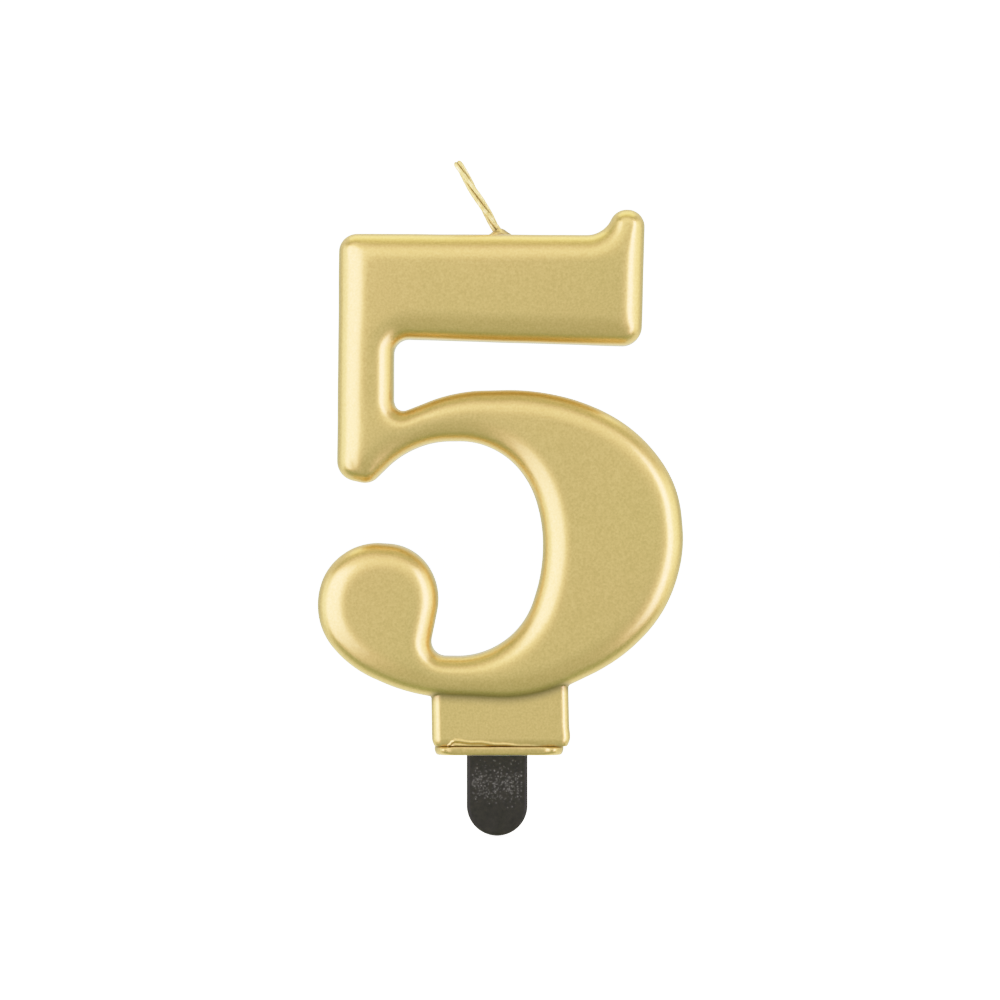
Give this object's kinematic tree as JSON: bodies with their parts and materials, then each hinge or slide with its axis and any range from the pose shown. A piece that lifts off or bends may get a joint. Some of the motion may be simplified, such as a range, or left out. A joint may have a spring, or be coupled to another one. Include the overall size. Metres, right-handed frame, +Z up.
{
  "type": "number birthday candle",
  "caption": "Gold lacquered wax birthday candle shaped as a figure five on a small plinth, with a twisted wick and a flat cake pick below.",
  "frame": {"origin": "middle of the underside of the foot, which rests on the cake", "axes": "+Z up, +X to the right seen from the front, the figure's front faces -Y"},
  "size_m": [0.0548, 0.011, 0.1015],
  "materials": {
    "wax": "cast paraffin wax, matt",
    "gold_lacquer": "satin metallic lacquer with a fine grain",
    "lacquered_cotton": "twisted cotton wetted with gold lacquer",
    "dark_plastic": "brown-black, satin, stippled in its upper part"
  },
  "bodies": {
    "root": {"wax_core": "wax", "gold_coat": "gold_lacquer", "foot_seal": "wax", "foot_coat": "gold_lacquer", "wick_ply_1": "lacquered_cotton", "wick_ply_2": "lacquered_cotton", "wick_ply_3": "lacquered_cotton", "wick_collar": "gold_lacquer", "cake_pick": "dark_plastic"}
  },
  "joints": []
}
